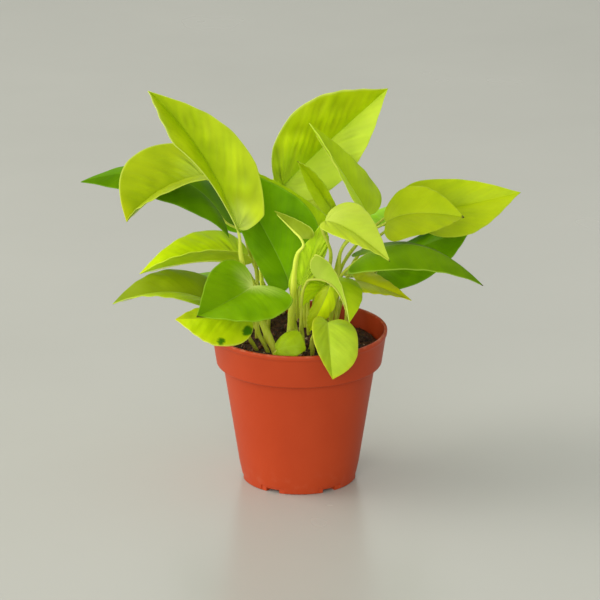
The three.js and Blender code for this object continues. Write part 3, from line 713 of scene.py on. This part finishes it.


# Leaves seen from the front, from the left round to the right

# In the calls, light is painted light and shade on each half of the blade, pale a painted sheen, rim a pale
# margin that is partly a painted highlight, and the stalk's value painted light and shade on the stalk
def make_front_leaves():
    leaf(1, "neon", base=(-37, -13, 164), mid=(-59, -13, 211), tip=(-90, -21, 252), left=(-56, -38, 190),
         right=(-25, -19, 204), root=(-14, -19), via=[(-27, -12, 116), (-35, -12, 145)], radius=2.4,
         full=(0.6, 0.1), lobe=0.2, waist=(3, 0),
         light=(1, 0.95), quilt=(0.25, 1.1), pale=(0, 0.05), rays=(0.35, 0.25), rim=(0.8, 0.15),
         spots=[("pale", 0.03, 0.12, 15, 0.45)])
    leaf(2, "neon", base=(-58, 13, 188), mid=(-83, 5, 182), tip=(-104, -16, 169), left=(-69, -16, 192),
         right=(-88, 25, 205), root=(-26, 12), via=[(-26, 18, 125), (-30, 14, 148), (-41, 18, 174)],
         full=(0.45, 0.7), lobe=(1, 1.05),
         light=(0.65, 0.7), quilt=0.6, rays=(0.4, 0.3), rim=0.3, ripe=(0.15, 0.02))
    leaf(3, "dark", base=(-47, 15, 162), mid=(-80, 20, 187), tip=(-133, 14, 185), left=(-56, 2, 164),
         right=(-57, 41, 179), root=(-19, 11), via=[(-19, 16, 126), (-29, 20, 149)], full=(0.3, 0),
         lobe=(0.1, 0.9),
         light=(0.9, 1.15), quilt=0.2)
    leaf(4, "neon", base=(-35, 11, 133), mid=(-60, 4, 138), tip=(-97, -7, 133), left=(-43, -10, 149),
         right=(-51, 30, 149), root=(-20, 4), via=[(-24, 4, 113)], full=(0, 0.05),
         light=(1.25, 1.2), quilt=(0.3, 0.7), rays=(0.2, 0.4), ripe=(0.1, 0.05))
    leaf(5, "olive", base=(-52, -11, 115), mid=(-80, -18, 125), tip=(-113, -20, 118), left=(-66, -34, 124),
         right=(-66, 4, 131), root=(-28, 1), via=[(-37, -8, 105)], full=(-0.25, 0.15),
         light=(1.07, 0.62), rim=(0.5, 0.15))
    # Its pale spot at the base is a painted highlight
    leaf(6, "green", base=(-28, -25, 131), mid=(-41, -39, 127), tip=(-61, -65, 125), left=(-7, -46, 123),
         right=(-50, -22, 143), root=(-19, -14), via=[(-25, -22, 102)], full=(0.8, -0.25), lobe=(0.95, 1.25),
         light=(1, 0.9), quilt=0.25, rays=(0.9, 0.3), dry=0.02, spots=[("pale", 0.01, 0, 7, 0.6)])
    leaf(7, "neon", base=(-34, -34, 116), mid=(-53, -46, 118), tip=(-74, -52, 119), left=(-42, -60, 105),
         right=(-42, -23, 120), root=(-26, -12), via=[(-32, -26, 103)], full=(0.05, 0.1),
         light=(1.2, 0.8), quilt=0.5, rim=0.6, ripe=(0.15, 0.45),
         spots=[("patch", 0.38, -0.85, 2.6, 1), ("patch", -0.04, -0.62, 3.8, 1)])
    leaf(8, "dark", base=(-6, -9, 127), mid=(-19, 4, 153), tip=(-46, 17, 197), left=(-26, -5, 139),
         right=(9, 2, 167), root=(0, -5), via=[(-5, -8, 116)], full=(0.4, -0.25), lobe=(0.8, 0.9),
         light=(1.15, 1.33), quilt=(0.1, 0.25), rays=(0.1, 0.2))
    leaf(9, "olive", base=(9, 15, 156), mid=(-8, 18, 168), tip=(-32, 18, 192), left=(-7, 9, 152),
         right=(7, 25, 168), root=(10, 17), via=[(12, 19, 132)], full=(0, 0.05), lobe=(1, 1.05),
         light=1.5)
    leaf(10, "neon", base=(-10, 41, 174), mid=(16, 40, 201), tip=(54, 32, 239), left=(-6, 25, 223),
         right=(26, 27, 182), root=(6, 20), via=[(3, 29, 137)], full=(0.1, -0.05), lobe=(0.6, 0.75),
         light=(0.95, 1.2), quilt=(1.9, 0.8), pale=(0, 0.25), rays=(0.3, 0.4), rim=(0.5, 0.1), stem=1.3)
    leaf(11, "olive", base=(41, 0, 168), mid=(30, 1, 187), tip=(6, -6, 228), left=(32, -20, 185),
         right=(47, 22, 180), root=(17, -4), via=[(24, -5, 131), (26, -7, 149)], full=(0, -0.25), lobe=0.8,
         light=(1.6, 1.42), quilt=0.2, rim=(0.7, 0.1))
    leaf(12, "green", base=(19, 4, 172), mid=(10, 4, 186), tip=(-1, 1, 202), left=(9, 2, 177),
         right=(17, 0, 185), root=(14, 6), via=[(15, 6, 152)], radius=1, full=(-0.25, 0.45),
         light=(1.1, 0.98), dry=0.03, wears="olive")
    leaf(13, "neon", base=(16, -34, 175), mid=(31, -41, 171), tip=(54, -57, 157), left=(35, -22, 182),
         right=(21, -52, 172), root=(7, -6), via=[(16, -6, 126), (19, -21, 151)], full=(-0.3, 0.15),
         lobe=0.95,
         pale=(0.25, 0.05), rays=(0.4, 0.5), dry=0.025)
    leaf(14, "olive", base=(2, -21, 160), mid=(-5, -14, 165), tip=(-15, 0, 171), left=(6, -26, 169),
         right=(7, -9, 162), root=(-6, -8), via=[(-4, -17, 120), (-1, -21, 150)], radius=2.3,
         full=(-0.5, -0.4), lobe=(1, 0.7),
         light=0.75, quilt=0.1, rim=(0.6, 0.2), stem=1.3)
    leaf(15, "neon", base=(53, -7, 166), mid=(71, -2, 170), tip=(100, -4, 168), left=(66, 10, 183),
         right=(66, -19, 160), root=(19, 6), via=[(22, 6, 130), (29, 6, 150)], full=(0, 0.25),
         light=(0.85, 0.75), quilt=0.2, rim=0.05, dry=0.035)
    leaf(16, "neon", base=(59, 26, 162), mid=(87, 32, 162), tip=(136, 32, 173), left=(84, 40, 179),
         right=(95, 10, 151), root=(17, 12), via=[(27, 14, 133)], full=(-0.1, -0.05), lobe=(0.9, 0.95),
         light=(0.94, 0.85), quilt=(0.3, 0.2), rim=0.1)
    leaf(17, "dark", base=(50, 19, 129), mid=(77, 26, 141), tip=(105, 32, 148), left=(68, 50, 136),
         right=(69, 6, 121), root=(28, 9), via=[(32, 12, 112)], full=(0, 0.2), lobe=(1, 0.6),
         light=(1.55, 1.3))
    leaf(18, "green", base=(42, -18, 150), mid=(76, -20, 154), tip=(111, -24, 131), left=(53, 0, 150),
         right=(47, -38, 145), root=(22, -6), via=[(23, -14, 119), (25, -16, 134)], full=(0.7, -0.2),
         lobe=(0.8, 0.7),
         light=(0.6, 0.75), rim=(0.2, 0.5), dry=0.02, stem=0.85)
    leaf(19, "yellow", base=(35, -8, 129), mid=(48, -14, 127), tip=(68, -22, 121), left=(40, 2, 133),
         right=(37, -26, 128), root=(28, 0), via=[(29, -4, 111)], radius=1, full=(-0.2, -0.25), lobe=0.8,
         light=1.15, ripe=(0.3, 0.15), spots=[("ripe", 0.79, 0.28, 2, 1)])
    leaf(20, "lime", base=(11, -38, 140), mid=(23, -41, 134), tip=(30, -46, 115), left=(33, -26, 135),
         right=(15, -43, 155), root=(1, -15), via=[(1, -27, 107), (2, -33, 129), (5, -36, 138)], radius=1.1,
         full=(0.1, -0.9), lobe=(1, 0.9),
         light=(1.08, 1), rim=(0.2, 0.9), pale=(0, 0.2), stem=0.8)
    leaf(21, "lime", base=(17, -44, 114), mid=(18, -58, 104), tip=(20, -60, 84), left=(35, -50, 105),
         right=(8, -54, 112), root=(8, -17), via=[(8, -26, 98)], full=(0.3, 0), lobe=(1.15, 1),
         light=(1.15, 0.8), quilt=(0.6, 0.5), pale=(0.15, 0.05), rim=0.4, ripe=(0.1, 0.5), stem=1.3)
    leaf(22, "lime", base=(-13, -42, 96), mid=(-4, -46, 100), tip=(4, -46, 98), left=(-5, -38, 107),
         right=(-9, -47, 91), root=(-16, -30), radius=1, full=(0.05, 0),
         light=0.85, quilt=0.9, rays=(0, 1))
    leaf(23, "lime", base=(1, -14, 129), mid=(7, -17, 147), tip=(13, -21, 169), left=(-4, -16, 139),
         right=(16, -18, 149), root=(3, -10), radius=1,
         light=(1.5, 1.15), quilt=1.5, ripple=0.6, pale=0.1)
    leaf(24, "lime", base=(17, -11, 127), mid=(9, -12, 123), tip=(0, -20, 116), left=(13, -9, 121),
         right=(6, -12, 131), root=(16, 0), via=[(18, -4, 116), (22, -9, 125)], radius=0.9,
         light=(1.7, 1.35), quilt=1.4, ripple=0.6)
    leaf(25, "neon", base=(18, -22, 129), mid=(13, -26, 118), tip=(6, -24, 102), left=(22, -20, 118),
         right=(8, -20, 118), root=(14, -9), via=[(17, -14, 112), (22, -18, 128)], radius=0.9,
         light=(1.45, 0.7), quilt=1.4, ripple=0.6)


# Leaves on the far side of the pot

# light is painted light and shade on each half; the stalk's value is painted light and shade on the stalk
def make_back_leaves():
    leaf(26, "neon", base=(-2, 46, 152), mid=(-7, 67, 160), tip=(-6, 102, 171), left=(-23, 70, 146),
         right=(20, 55, 154), root=(4, 30),
         light=0.95, stem=1.4)
    leaf(27, "dark", base=(-30, 38, 152), mid=(-48, 61, 165), tip=(-66, 93, 164), left=(-61, 46, 159),
         right=(-20, 58, 166), root=(-21, 21), via=[(-24, 29, 127)],
         light=(1.7, 1.5), stem=1.4)
    leaf(28, "green", base=(-38, 36, 109), mid=(-59, 61, 110), tip=(-78, 83, 98), left=(-64, 42, 110),
         right=(-30, 64, 107), root=(-26, 21),
         light=0.95)
    leaf(29, "dark", base=(58, 43, 149), mid=(77, 69, 150), tip=(95, 97, 139), left=(46, 67, 150),
         right=(88, 47, 148), root=(21, 24), via=[(35, 33, 130)],
         light=(1.85, 1.5), wears="green")
    leaf(30, "neon", base=(43, 42, 116), mid=(60, 66, 114), tip=(77, 92, 99), left=(35, 64, 116),
         right=(69, 46, 113), root=(28, 26), via=[(33, 34, 104)],
         light=0.95)
    leaf(31, "green", base=(-9, 46, 133), mid=(-13, 72, 134), tip=(-17, 98, 120), left=(-30, 62, 130),
         right=(11, 64, 129), root=(-1, 37), via=[(-2, 40, 113)],
         light=0.95, stem=1.2)
    leaf(32, "dark", base=(0, 48, 186), mid=(12, 54, 207), tip=(25, 85, 215), left=(-1, 51, 205),
         right=(32, 55, 198), root=(9, 34), via=[(9, 39, 150)],
         light=1.15)
    leaf(33, "neon", base=(-36, 34, 180), mid=(-52, 49, 193), tip=(-57, 67, 201), left=(-54, 30, 191),
         right=(-34, 47, 192), root=(-13, 39), via=[(-32, 29, 141)],
         light=0.95)


# Pot

POT_HEIGHT = 96
RIM_RADIUS = 54
BASE_RADIUS = 35.3
BAND_BOTTOM_Z = 74.5
BAND_BOTTOM_RADIUS = 50.8
BODY_TOP_RADIUS = 46.8
WALL = 1.3
BASE_THICKNESS = 1.8
NOTCH_COUNT = 6
NOTCH_FIRST_ANGLE = -118
NOTCH_WIDTH = 9
NOTCH_HEIGHT = 2.6
NOTCH_DEPTH = 8
RECESS_WIDTH = 16
RECESS_HEIGHT = 3.6
RECESS_DEPTH = 0.5
EVEN_SIDES = 180
EDGE_PAIR = 0.08
INNER_POINTS = 4


def arc(centre, radius, start, end, count=6):
    """Points [radius, height] on a round corner, angles in degrees."""
    angle = np.radians(np.linspace(start, end, count))
    return np.stack([centre[0] + radius * np.cos(angle), centre[1] + radius * np.sin(angle)], -1)


def pot_profile():
    """From the middle of the underside round the outside and over the lip to the inside."""
    top, band = POT_HEIGHT, BAND_BOTTOM_Z
    notch_inner = BASE_RADIUS - NOTCH_DEPTH
    stretches = [
        [(0, 0), (notch_inner - 0.05, 0), (notch_inner + 0.05, 0), (BASE_RADIUS - 5, 0)],
        arc((BASE_RADIUS - 1.0, 1.0), 1.0, -90, -8),
        [(BASE_RADIUS + 0.05, NOTCH_HEIGHT - 0.05), (BASE_RADIUS + 0.1, NOTCH_HEIGHT + 0.05)],
        [(BASE_RADIUS + 0.15, RECESS_HEIGHT - 0.05), (BASE_RADIUS + 0.17, RECESS_HEIGHT + 0.05)],
        [(BASE_RADIUS + (BODY_TOP_RADIUS - BASE_RADIUS) * k, band * k) for k in (0.15, 0.4, 0.7, 0.95)],
        arc((BODY_TOP_RADIUS + 0.9, band - 0.9), 0.9, 180, 90),
        arc((BAND_BOTTOM_RADIUS - 1.2, band + 1.2), 1.2, -90, 0),
        [(RIM_RADIUS - 0.9, top - 4.5)],
        arc((RIM_RADIUS - 0.6, top - 2.4), 0.5, -60, 0, 3),
        arc((RIM_RADIUS - 0.7, top - 0.7), 0.7, 0, 90),
        arc((RIM_RADIUS - 1.3, top - 0.6), 0.6, 90, 180),
        [(BAND_BOTTOM_RADIUS - WALL, band + 2.2), (BODY_TOP_RADIUS - WALL, band - 0.2)],
        [(BASE_RADIUS - WALL, BASE_THICKNESS), (0, BASE_THICKNESS)],
    ]
    return np.concatenate([np.array(stretch, float) for stretch in stretches])


def cut_angles():
    """Angles round the pot: even steps and a close pair at each side of every notch and recess."""
    even = np.linspace(0, 360, EVEN_SIDES, endpoint=False)
    middles = NOTCH_FIRST_ANGLE + np.arange(NOTCH_COUNT) * 360 / NOTCH_COUNT
    reach = np.degrees(np.arcsin(np.array([NOTCH_WIDTH, RECESS_WIDTH]) / 2 / BASE_RADIUS))
    edges = middles[:, None, None] + np.outer([-1, 1], reach).ravel()[None, :, None]
    edges = edges + np.array([-EDGE_PAIR, EDGE_PAIR])
    return np.unique(np.round(np.concatenate([even, edges.ravel() % 360]), 4))


def pot_surface():
    """The turned profile, raised over the notches and set in at the recesses round them:
    height = max(height, notch height) and radius = min(radius, recess radius) inside their angles."""
    profile = pot_profile()
    degrees = cut_angles()
    radius = profile[:, :1] + 0 * degrees
    height = profile[:, 1:] + 0 * degrees
    spacing = 360 / NOTCH_COUNT
    off = np.radians((degrees - NOTCH_FIRST_ANGLE + spacing / 2) % spacing - spacing / 2)
    across = abs(np.sin(off)) * BASE_RADIUS
    outer = np.arange(len(profile))[:, None] < len(profile) - INNER_POINTS
    in_recess = (across < RECESS_WIDTH / 2) & (height < RECESS_HEIGHT) & outer
    radius = np.where(in_recess, np.minimum(radius, BASE_RADIUS - RECESS_DEPTH), radius)
    notch_inner = BASE_RADIUS - NOTCH_DEPTH
    in_notch = (across < NOTCH_WIDTH / 2) & (height < NOTCH_HEIGHT) & (radius > notch_inner) & outer
    height = np.where(in_notch, NOTCH_HEIGHT, height)
    angle = np.radians(degrees)
    return np.stack([radius * np.cos(angle), radius * np.sin(angle), height], -1)


def terracotta_plastic():
    """Smooth moulded plastic, faintly clouded, with scuffs at the foot and pale patches on the lip that are
    partly scuffs and partly a painted highlight.
    """
    f = Finish("terracotta plastic")
    cloud = f.noise(18, 3)
    fine = f.noise(900, 3)
    flow = f.noise(60, 3, upright=0.15)
    skin = f.mix(cloud.smooth(0.3, 0.7) * 0.5 + flow * 0.3, colour(180, 59, 17), colour(194, 70, 26))
    height = f.split(f.spot, "Z")
    foot = (1 - height.smooth(0.0, 0.02)) * f.noise(140, 4).smooth(0.48, 0.7)
    skin = f.mix(foot * 0.08, skin, colour(214, 150, 122))
    # Pale patches on top of the lip: partly scuffs, partly a painted highlight along the lip
    lip = height.smooth(0.0945, 0.0958) * f.noise(200, 3).smooth(0.4, 0.7)
    skin = f.mix(lip * 0.35, skin, colour(226, 140, 104))
    relief = f.bump(fine, 0.00006, 0.5)
    return f.finish(f.skin(skin, cloud.between(0.42, 0.54), Specular_IOR_Level=0.3, Normal=relief))


def make_pot():
    surface = pot_surface() * MM
    rows, sides = surface.shape[:2]
    shell = Shell(surface, turned_maps(rows, sides))
    return make_piece("pot_moulded", [shell], [terracotta_plastic()], "pot", crease=35)


# Soil

CLEARANCE = 0.35
SOIL_RINGS = 150
SOIL_SPOKES = 420
LUMPS = ((1.1, 6.5, 3), (0.7, 2.7, 4))
LUMP_SHARE = 0.6
GRIT_HEIGHT = 0.45
GRIT_SIZE = 1.2
SURFACE_DROP = 0.3
WALL_DROP = 1.8
WALL_REACH = 1.5
CRUMB_COUNT = 1100
CRUMB_SEED = 11
CRUMB_SIZES = (0.5, 0.8, 1.3, 2.0)
SIZE_ODDS = (0.4, 0.33, 0.2, 0.07)
KIND_ODDS = (0.62, 0.28, 0.1)
CRUMB_ROWS = 7
CRUMB_SIDES = 9
CRUMB_UNEVEN = 0.35
CRUMB_RISE = 0.15


def soil_edge():
    """Radius of the soil's top edge: the inside of the pot's band at that height, less the clearance."""
    share = (SOIL_Z - 2 - BAND_BOTTOM_Z - 2.2) / (POT_HEIGHT - 0.6 - BAND_BOTTOM_Z - 2.2)
    inner_band = BAND_BOTTOM_RADIUS - WALL
    return inner_band + (RIM_RADIUS - 1.8 - inner_band) * share - CLEARANCE


def crumbly(x, y):
    """Height of the soil: the solid's, with lumps of two sizes and fine grit on it."""
    flat = np.stack([x, y, 0 * x], -1)
    lumps = sum(height * lattice_noise(flat, size, seed) for height, size, seed in LUMPS)
    grit = GRIT_HEIGHT * abs(lattice_noise(flat, GRIT_SIZE, 5))
    return soil_surface(x, y) + LUMP_SHARE * lumps + grit - SURFACE_DROP


def soil_shell():
    """The solid's side and underside with a crumbly top, which drops a little at the wall."""
    edge = soil_edge()
    side = np.array([
        (0, BASE_THICKNESS + CLEARANCE), (BASE_RADIUS - WALL - CLEARANCE, BASE_THICKNESS + CLEARANCE),
        (BODY_TOP_RADIUS - WALL - CLEARANCE, BAND_BOTTOM_Z),
        (BAND_BOTTOM_RADIUS - WALL - CLEARANCE, BAND_BOTTOM_Z + 2.4), (edge, SOIL_Z - 2.4),
    ])
    rings = np.stack([np.linspace(edge - 0.2, 0, SOIL_RINGS), np.full(SOIL_RINGS, float(SOIL_Z))], -1)
    surface = turned(np.concatenate([side, rings]), SOIL_SPOKES)
    rim = surface[len(side) - 1]
    rim[:, 2] += heap_rise(rim[:, 0], rim[:, 1])
    top = surface[len(side):]
    rise = crumbly(top[..., 0], top[..., 1])
    inset = edge - np.hypot(top[..., 0], top[..., 1])
    top[..., 2] = rise - WALL_DROP * np.exp(-inset / WALL_REACH)
    top[-1, :, 2] = top[-1, 0, 2]
    return Shell(surface * MM, turned_maps(len(surface), SOIL_SPOKES))


def soil_finish():
    f = Finish("potting soil")
    clump = f.noise(300, 4, 0.65)
    skin = f.mix(clump.smooth(0.3, 0.75), colour(30, 14, 7), colour(92, 50, 30))
    skin = f.mix(f.noise(1500, 2).smooth(0.6, 0.75) * 0.5, skin, colour(150, 100, 70))
    height = clump + f.cells(900) * 0.5
    return f.finish(f.skin(skin, clump.between(0.75, 0.95), Normal=f.bump(height, 0.0008, 0.9)))


def crumb_finish(name, dark, light):
    f = Finish(name)
    grain = f.noise(800, 3)
    skin = f.mix(grain.smooth(0.3, 0.7), dark, light)
    return f.finish(f.skin(skin, grain.between(0.6, 0.9), Normal=f.bump(grain, 0.0004, 0.8)))


def crumb_shell(rng, x, y, size, flat):
    """A lump of soil or bark: a coarse sphere pulled out of round, flattened and turned."""
    polar = np.linspace(np.pi, 0, CRUMB_ROWS)[:, None]
    angle = np.linspace(0, 2 * np.pi, CRUMB_SIDES, endpoint=False)[None]
    ring = np.sin(polar)
    ball = np.stack([ring * np.cos(angle), ring * np.sin(angle), np.cos(polar) + 0 * angle], -1)
    ball = ball * (1 + CRUMB_UNEVEN * lattice_noise(ball + rng.uniform(0, 90, 3), 0.9, 1))[..., None]
    ball = ball * size * np.array([1, rng.uniform(0.5, 0.9), flat])
    turn = np.linalg.qr(rng.normal(size=(3, 3)) * [1, 1, 0.35] + np.eye(3) * [0, 0, 1.2])[0]
    turn = turn * np.sign(np.linalg.det(turn))
    ball = ball @ turn.T + np.array([x, y, crumbly(np.array(x), np.array(y)) + CRUMB_RISE * size])
    ball[0], ball[-1] = ball[0].mean(0), ball[-1].mean(0)
    return Shell(ball * MM, turned_maps(CRUMB_ROWS, CRUMB_SIDES))


def make_soil():
    rng = np.random.default_rng(CRUMB_SEED)
    shells = [soil_shell()]
    reach = soil_edge() - 2.5
    for _ in range(CRUMB_COUNT):
        radius, angle = reach * rng.uniform() ** 0.5, rng.uniform(0, 2 * np.pi)
        size = rng.choice(CRUMB_SIZES, p=SIZE_ODDS) * rng.uniform(0.8, 1.2)
        shell = crumb_shell(rng, radius * np.cos(angle), radius * np.sin(angle), size, rng.uniform(0.35, 0.8))
        shell.band[:] = 1 + rng.choice(3, p=KIND_ODDS)
        shells.append(shell)
    materials = [
        soil_finish(),
        crumb_finish("soil crumb", colour(28, 13, 7), colour(80, 44, 26)),
        crumb_finish("bark chip", colour(76, 40, 22), colour(140, 88, 56)),
        crumb_finish("pale grit", colour(140, 108, 84), colour(204, 176, 150)),
    ]
    return make_piece("soil_crumbly", shells, materials, "soil", crease=60)


# Stage: pale floor, soft lights and the camera

CAMERA_TARGET = Vector((0.0005, 0, 0.114))
CAMERA_DISTANCE = 2.4
CAMERA_ELEVATION = np.radians(18.4)
METRES_ACROSS = 0.3666
SENSOR = 36
FLOOR_REACH = 6
LAMP_SIZE = 1.6
LAMP_AIM = (0, 0, 0.12)
# Name, place, watts and tint
LAMPS = (
    ("key", (-1.7, 0.2, 1.3), 27, (1, 0.98, 0.94)),
    ("front", (-0.4, -2.2, 0.9), 24, (1, 0.99, 0.95)),
    ("left", (-2.0, -0.9, 0.45), 14, (1, 0.98, 0.94)),
    ("back", (0.3, 1.8, 1.2), 4, (1, 1, 0.96)),
)
ROOM_TINT = (0.86, 0.87, 0.82, 1)
ROOM_STRENGTH = 0.66


def floor_finish():
    f = Finish("pale floor")
    cloud = f.noise(6, 3)
    skin = f.mix(cloud, colour(176, 176, 168), colour(184, 184, 176))
    return f.finish(f.skin(skin, cloud.between(0.22, 0.3), IOR=1.3))


def make_floor():
    mesh = bpy.data.meshes.new("floor")
    corners = [(x * FLOOR_REACH, y * FLOOR_REACH, 0) for x, y in ((-1, -1), (1, -1), (1, 1), (-1, 1))]
    mesh.from_pydata(corners, [], [(0, 1, 2, 3)])
    mesh.materials.append(floor_finish())
    floor = add_object("floor", mesh)


def aim(thing, place, target):
    """Puts a lamp or a camera at the place, facing the target."""
    thing.location = place
    thing.rotation_euler = (Vector(target) - Vector(place)).to_track_quat("-Z", "Y").to_euler()


def add_light(name, place, watts, tint):
    lamp = bpy.data.lights.new(name, "AREA")
    lamp.shape = "DISK"
    lamp.size = LAMP_SIZE
    lamp.energy = watts
    lamp.color = tint
    aim(add_object(name, lamp), place, LAMP_AIM)


def make_lights():
    world = bpy.data.worlds.new("soft room")
    world.use_nodes = True
    background = world.node_tree.nodes["Background"]
    background.inputs["Color"].default_value = ROOM_TINT
    background.inputs["Strength"].default_value = ROOM_STRENGTH
    bpy.context.scene.world = world
    for lamp in LAMPS:
        add_light(*lamp)


def make_camera():
    lens = bpy.data.cameras.new("camera")
    lens.sensor_width = SENSOR
    lens.lens = SENSOR * CAMERA_DISTANCE / METRES_ACROSS
    lens.clip_end = 50
    camera = add_object("camera", lens)
    away = Vector((0, -np.cos(CAMERA_ELEVATION), np.sin(CAMERA_ELEVATION)))
    aim(camera, CAMERA_TARGET + CAMERA_DISTANCE * away, CAMERA_TARGET)
    bpy.context.scene.camera = camera


make_camera()
make_pot()
make_soil()
make_front_leaves()
make_back_leaves()
make_floor()
make_lights()
bpy.context.scene.view_settings.view_transform = "Standard"
